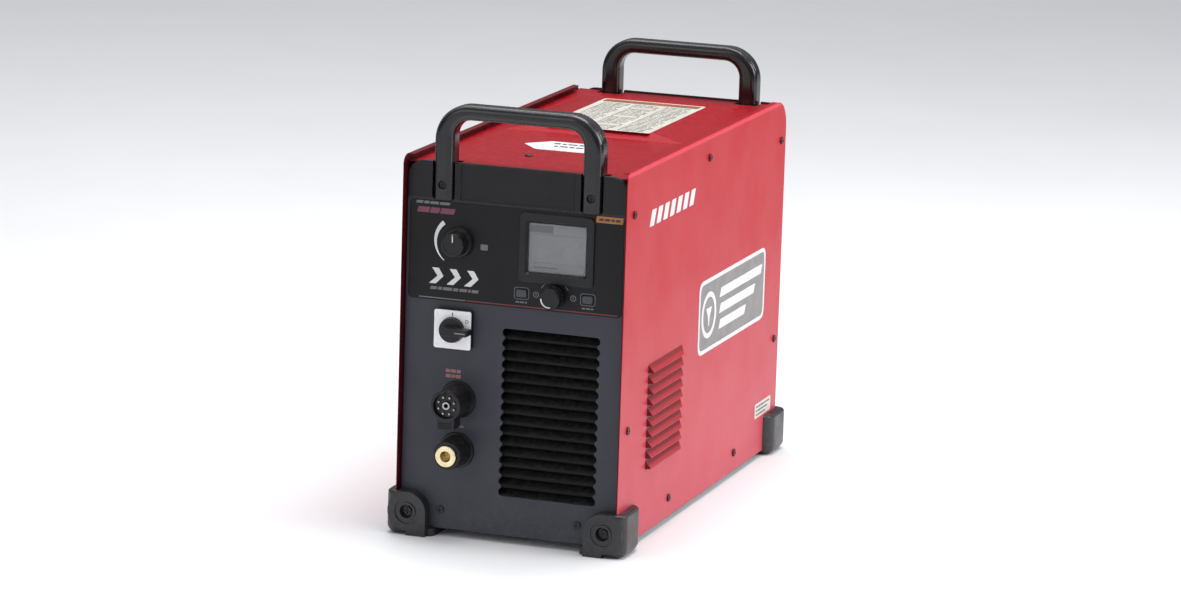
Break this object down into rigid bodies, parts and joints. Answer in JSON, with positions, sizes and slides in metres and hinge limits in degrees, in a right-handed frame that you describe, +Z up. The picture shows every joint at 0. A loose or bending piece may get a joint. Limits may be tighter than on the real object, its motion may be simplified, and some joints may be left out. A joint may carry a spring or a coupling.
{
  "type": "plasma cutter unit",
  "caption": "Portable plasma cutting power source: red steel case on corner feet, black control panel with display, knobs, sockets and louvres, and a carrying handle at each end.",
  "frame": {"origin": "centre of the footprint at floor level", "axes": "+Z up; the control panel faces -Y; +X is to the right of someone facing the control panel"},
  "size_m": [0.301, 0.692, 0.519],
  "materials": {
    "aluminium": "extruded",
    "black_plastic": "satin black",
    "bowl_clear": "smoked",
    "brass": "turned",
    "button_grey": "satin",
    "can": "sleeved",
    "circuit_board": "solder mask",
    "copper": "enamelled wire",
    "core": "ferrite",
    "foot_plastic": "satin tough plastic",
    "handle_plastic": "satin moulded plastic",
    "hose": "flexible",
    "module": "moulded",
    "overlay_film": "satin film",
    "panel_plastic": "fine-textured moulded plastic",
    "plain_steel": "zinc plated",
    "plate_silver": "satin",
    "red_paint": "glossy powder coat",
    "screen": "liquid crystal cell",
    "screw_black": "black oxide",
    "white_plastic": "satin",
    "window_clear": "clear"
  },
  "bodies": {
    "case": {"air_regulator": "aluminium", "air_tube": "hose", "base_pan": "plain_steel", "breaker_body": "black_plastic", "capacitor_bank": "can", "cnc_socket": "black_plastic", "control_board": "circuit_board", "control_overlay": "overlay_film", "cover_screws": "screw_black", "deck_plate": "plain_steel", "display_bezel": "black_plastic", "display_board": "circuit_board", "display_module": "screen", "display_window": "window_clear", "fan_frame": "black_plastic", "fan_guard": "plain_steel", "fan_screws": "screw_black", "filter_bowl": "bowl_clear", "foot_front_left": "foot_plastic", "foot_front_right": "foot_plastic", "foot_rear_left": "foot_plastic", "foot_rear_right": "foot_plastic", "front_grille": "black_plastic", "front_handle": "handle_plastic", "front_panel": "panel_plastic", "handle_screws": "screw_black", "heat_sinks": "aluminium", "inverter_board": "circuit_board", "left_cover": "red_paint", "mains_gland": "black_plastic", "output_choke": "copper", "panel_screws": "screw_black", "power_modules": "module", "power_switch_body": "black_plastic", "power_switch_plate": "plate_silver", "pressure_gauge": "plain_steel", "rear_handle": "handle_plastic", "rear_panel": "panel_plastic", "right_cover": "red_paint", "solenoid_valve": "brass", "top_cover": "red_paint", "torch_contacts": "plain_steel", "torch_socket_insert": "black_plastic", "torch_socket_shell": "black_plastic", "transformer_core": "core", "transformer_winding": "copper", "tunnel_wall": "plain_steel", "work_socket_contact": "brass", "work_socket_housing": "black_plastic"},
    "current_knob": {"current_knob": "black_plastic"},
    "menu_push": {"encoder_shaft": "plain_steel"},
    "menu_knob": {"menu_knob": "black_plastic"},
    "left_button": {"left_button": "button_grey"},
    "right_button": {"right_button": "button_grey"},
    "power_switch": {"power_switch_knob": "black_plastic"},
    "fan": {"fan_rotor": "black_plastic"},
    "cnc_cap": {"cnc_cap": "black_plastic"},
    "breaker_reset": {"breaker_button": "white_plastic"},
    "bowl_drain": {"drain_valve": "brass"},
    "regulator_knob": {"regulator_knob": "black_plastic"}
  },
  "joints": [
    {"name": "current_knob_turn", "type": "hinge", "parent": "case", "child": "current_knob", "pos_m": [-0.071, -0.315, 0.356], "axis": [0, 1, 0], "range_deg": [-150, 150]},
    {"name": "menu_press", "type": "slide", "parent": "case", "child": "menu_push", "axis": [0, 1, 0], "range_m": [0, 0.001], "stiffness_N_per_m": 2000, "springref_m": -0.0005},
    {"name": "menu_knob_turn", "type": "hinge", "parent": "menu_push", "child": "menu_knob", "pos_m": [0.05, -0.315, 0.303], "axis": [0, 1, 0], "continuous": true},
    {"name": "left_button_press", "type": "slide", "parent": "case", "child": "left_button", "axis": [0, 1, 0], "range_m": [0, 0.001], "stiffness_N_per_m": 1500, "springref_m": -0.0005},
    {"name": "right_button_press", "type": "slide", "parent": "case", "child": "right_button", "axis": [0, 1, 0], "range_m": [0, 0.001], "stiffness_N_per_m": 1500, "springref_m": -0.0005},
    {"name": "power_switch_turn", "type": "hinge", "parent": "case", "child": "power_switch", "pos_m": [-0.073, -0.32, 0.253], "axis": [0, -1, 0], "range_deg": [0, 90]},
    {"name": "fan_spin", "type": "hinge", "parent": "case", "child": "fan", "pos_m": [0.046, 0.28, 0.152], "axis": [0, 1, 0], "continuous": true},
    {"name": "cnc_cap_hinge", "type": "hinge", "parent": "case", "child": "cnc_cap", "pos_m": [-0.088, 0.3095, 0.2995], "axis": [1, 0, 0], "range_deg": [0, 105]},
    {"name": "breaker_trip", "type": "slide", "parent": "case", "child": "breaker_reset", "axis": [0, 1, 0], "range_m": [0, 0.003]},
    {"name": "bowl_drain_press", "type": "slide", "parent": "case", "child": "bowl_drain", "axis": [0, 0, 1], "range_m": [0, 0.002], "stiffness_N_per_m": 600, "springref_m": -0.001},
    {"name": "regulator_turn", "type": "hinge", "parent": "case", "child": "regulator_knob", "pos_m": [-0.084, 0.325, 0.19], "axis": [0, 0, 1], "range_deg": [-180, 180]}
  ]
}
